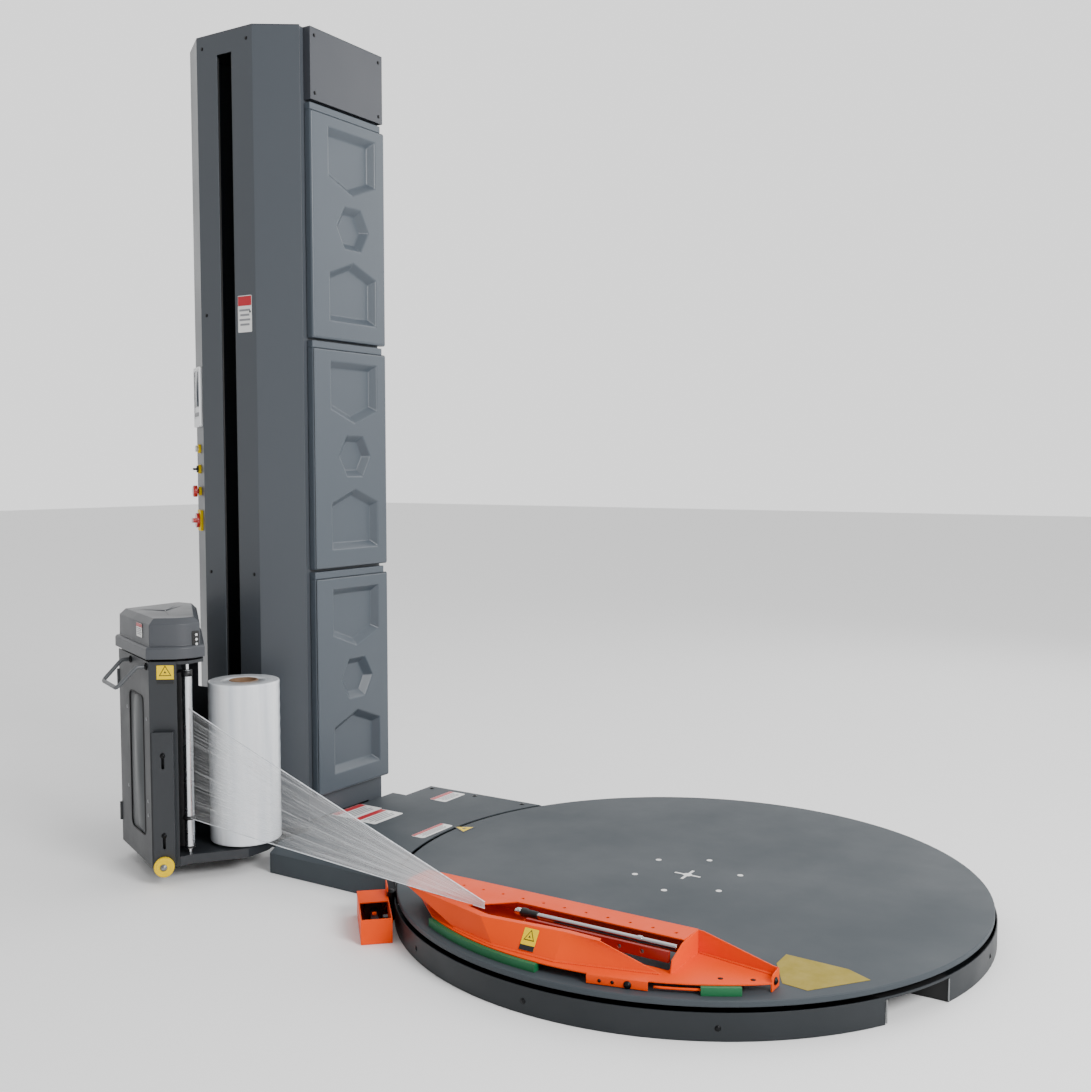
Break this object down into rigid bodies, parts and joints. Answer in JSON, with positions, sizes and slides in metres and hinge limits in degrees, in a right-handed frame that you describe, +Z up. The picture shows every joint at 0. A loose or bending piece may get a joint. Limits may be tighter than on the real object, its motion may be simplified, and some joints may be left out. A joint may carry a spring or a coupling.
{
  "type": "turntable pallet wrapper",
  "caption": "Turntable stretch-film pallet wrapper: round table, octagonal mast with moulded side panels, lifting film carriage, film reel and edge clamp.",
  "frame": {"origin": "on the floor under the turntable's centre", "axes": "+Z up, +X from the mast towards the turntable's free side, -Y towards the operator's side, where the film carriage stands"},
  "size_m": [2.6463, 1.663, 2.65],
  "materials": {
    "frame_paint": "satin",
    "cover_paint": "satin powder coat",
    "table_paint": "textured powder coat",
    "panel_plastic": "satin",
    "hood_plastic": "satin",
    "casing_paint": "textured powder coat",
    "orange_paint": "satin",
    "red_paint": "satin",
    "bright_steel": "polished",
    "zinc_steel": "zinc plated",
    "aluminium_roller": "turned",
    "motor_paint": "painted",
    "green_rubber": "matte",
    "black_rubber": "matte",
    "black_plastic": "matte",
    "yellow_plastic": "satin",
    "red_plastic": "gloss",
    "white_plastic": "satin",
    "shoe_plastic": "matte",
    "film": "stretch film",
    "film_wound": "wound stretch film",
    "cardboard": "matte"
  },
  "bodies": {
    "base": {"base_frame": "frame_paint", "fork_channels": "frame_paint", "turntable_skirt": "frame_paint", "bridge_cover": "table_paint", "drive_chain": "zinc_steel", "table_gearmotor": "motor_paint", "roller_brackets": "frame_paint", "mast_front_cover": "cover_paint", "mast_rear_cover": "cover_paint", "mast_top_cap": "cover_paint", "side_panel_right_1": "panel_plastic", "side_panel_right_2": "panel_plastic", "side_panel_right_3": "panel_plastic", "side_panel_left_1": "panel_plastic", "side_panel_left_2": "panel_plastic", "side_panel_left_3": "panel_plastic", "mast_column": "zinc_steel", "lift_gearmotor": "motor_paint", "lift_belt": "black_rubber", "electrical_box": "zinc_steel", "touch_screen": "white_plastic", "control_collars": "yellow_plastic", "actuator_box": "orange_paint", "film_web": "film"},
    "drive_sprocket": {"drive_sprocket": "zinc_steel"},
    "turntable": {"turntable_disc": "table_paint", "table_hub": "zinc_steel", "clamp_base": "orange_paint", "clamp_rail": "orange_paint", "clamp_guard": "orange_paint", "edge_strips": "green_rubber"},
    "clamp_arm": {"clamp_arm": "red_paint"},
    "pusher": {"pusher_rod": "bright_steel"},
    "carriage": {"carriage_casing": "casing_paint", "carriage_tray": "casing_paint", "carriage_arm": "casing_paint", "guide_shoes": "shoe_plastic", "carriage_hood": "hood_plastic", "stretch_gearmotor": "motor_paint"},
    "stretch_roller_1": {"stretch_roller_1": "black_rubber"},
    "stretch_roller_2": {"stretch_roller_2": "black_rubber"},
    "idler": {"idler_roller": "aluminium_roller"},
    "reel": {"reel_spindle": "zinc_steel", "film_core": "cardboard", "film_roll": "film_wound"},
    "door": {"casing_door": "casing_paint", "door_handle": "casing_paint"},
    "toe_guard": {"toe_guard": "casing_paint"},
    "toe_wheel": {"toe_wheel": "yellow_plastic"},
    "lower_pulley": {"lower_pulley": "zinc_steel"},
    "upper_pulley": {"upper_pulley": "zinc_steel"},
    "e_stop": {"e_stop_button": "red_plastic"},
    "start_button": {"push_button": "white_plastic"},
    "selector": {"selector_knob": "black_plastic"},
    "isolator": {"isolator_knob": "red_plastic"},
    "actuator_lever": {"actuator_lever": "black_plastic"},
    "support_roller_1": {"support_roller_1": "black_rubber"},
    "support_roller_2": {"support_roller_2": "black_rubber"},
    "support_roller_3": {"support_roller_3": "black_rubber"},
    "support_roller_4": {"support_roller_4": "black_rubber"}
  },
  "joints": [
    {"name": "turntable_spin", "type": "hinge", "parent": "base", "child": "turntable", "pos_m": [0, 0, 0.08], "axis": [0, 0, 1], "continuous": true},
    {"name": "support_roller_1_spin", "type": "hinge", "parent": "base", "child": "support_roller_1", "pos_m": [0.50913, 0.5091, 0.0577], "axis": [0.7071, 0.7071, 0], "continuous": true},
    {"name": "support_roller_2_spin", "type": "hinge", "parent": "base", "child": "support_roller_2", "pos_m": [-0.50913, 0.5091, 0.0577], "axis": [-0.7071, 0.7071, 0], "continuous": true},
    {"name": "support_roller_3_spin", "type": "hinge", "parent": "base", "child": "support_roller_3", "pos_m": [-0.50913, -0.5091, 0.0577], "axis": [-0.7071, -0.7071, 0], "continuous": true},
    {"name": "support_roller_4_spin", "type": "hinge", "parent": "base", "child": "support_roller_4", "pos_m": [0.50913, -0.5091, 0.0577], "axis": [0.7071, -0.7071, 0], "continuous": true},
    {"name": "drive_sprocket_spin", "type": "hinge", "parent": "base", "child": "drive_sprocket", "pos_m": [-1.37825, 0, 0.07], "axis": [0, 0, 1], "continuous": true},
    {"name": "carriage_lift", "type": "slide", "parent": "base", "child": "carriage", "axis": [0, 0, 1], "range_m": [0, 1.8], "deforming": ["film_web"]},
    {"name": "lower_pulley_spin", "type": "hinge", "parent": "base", "child": "lower_pulley", "pos_m": [-1.545, 0, 0.13], "axis": [1, 0, 0], "range_deg": [-4140, 10]},
    {"name": "upper_pulley_spin", "type": "hinge", "parent": "base", "child": "upper_pulley", "pos_m": [-1.545, 0, 2.53], "axis": [1, 0, 0], "range_deg": [-4140, 10]},
    {"name": "reel_spin", "type": "hinge", "parent": "carriage", "child": "reel", "pos_m": [-1.342, -0.403, 0.1], "axis": [0, 0, 1], "continuous": true},
    {"name": "stretch_roller_1_spin", "type": "hinge", "parent": "carriage", "child": "stretch_roller_1", "pos_m": [-1.47, -0.568, 0.3], "axis": [0, 0, 1], "continuous": true},
    {"name": "stretch_roller_2_spin", "type": "hinge", "parent": "carriage", "child": "stretch_roller_2", "pos_m": [-1.56, -0.53, 0.3], "axis": [0, 0, 1], "continuous": true},
    {"name": "idler_spin", "type": "hinge", "parent": "carriage", "child": "idler", "pos_m": [-1.384, -0.593, 0.3], "axis": [0, 0, 1], "continuous": true},
    {"name": "door_hinge", "type": "hinge", "parent": "carriage", "child": "door", "pos_m": [-1.745, -0.553, 0.36], "axis": [0, 0, -1], "range_deg": [0, 110]},
    {"name": "toe_guard_slide", "type": "slide", "parent": "door", "child": "toe_guard", "axis": [0, 0, 1], "range_m": [0, 0.03]},
    {"name": "toe_wheel_spin", "type": "hinge", "parent": "toe_guard", "child": "toe_wheel", "pos_m": [-1.38698, -0.69073, 0.06], "axis": [0.6079, -0.794, 0], "continuous": true},
    {"name": "clamp_arm_hinge", "type": "hinge", "parent": "turntable", "child": "clamp_arm", "pos_m": [-0.12, -0.66, 0.13], "axis": [0, -1, 0], "range_deg": [0, 75]},
    {"name": "pusher_slide", "type": "slide", "parent": "turntable", "child": "pusher", "axis": [-1, 0, 0], "range_m": [0, 0.0202]},
    {"name": "e_stop_press", "type": "slide", "parent": "base", "child": "e_stop", "axis": [0.5593, 0.829, 0], "range_m": [0, 0.005], "stiffness_N_per_m": 800},
    {"name": "start_button_press", "type": "slide", "parent": "base", "child": "start_button", "axis": [0.5593, 0.829, 0], "range_m": [0, 0.003], "stiffness_N_per_m": 300},
    {"name": "selector_turn", "type": "hinge", "parent": "base", "child": "selector", "pos_m": [-1.73275, -0.208, 1.243], "axis": [-0.5593, -0.829, 0], "range_deg": [-45, 45]},
    {"name": "isolator_turn", "type": "hinge", "parent": "base", "child": "isolator", "pos_m": [-1.73275, -0.208, 1.069], "axis": [-0.5593, -0.829, 0], "range_deg": [0, 90]},
    {"name": "actuator_lever_turn", "type": "hinge", "parent": "base", "child": "actuator_lever", "pos_m": [-0.6452, -0.61013, 0.03], "axis": [0, 0, 1], "range_deg": [0, 30]}
  ],
  "couplings": [
    {"joint": "support_roller_1_spin", "follows": "turntable_spin", "ratio": -32.727},
    {"joint": "support_roller_2_spin", "follows": "turntable_spin", "ratio": -32.727},
    {"joint": "support_roller_3_spin", "follows": "turntable_spin", "ratio": -32.727},
    {"joint": "support_roller_4_spin", "follows": "turntable_spin", "ratio": -32.727},
    {"joint": "drive_sprocket_spin", "follows": "turntable_spin", "ratio": 3.4211},
    {"joint": "lower_pulley_spin", "follows": "carriage_lift", "rad_per_m": -40},
    {"joint": "upper_pulley_spin", "follows": "carriage_lift", "rad_per_m": -40},
    {"joint": "stretch_roller_2_spin", "follows": "stretch_roller_1_spin", "ratio": 0.4},
    {"joint": "pusher_slide", "follows": "clamp_arm_hinge", "m_per_rad": 0.0153}
  ]
}
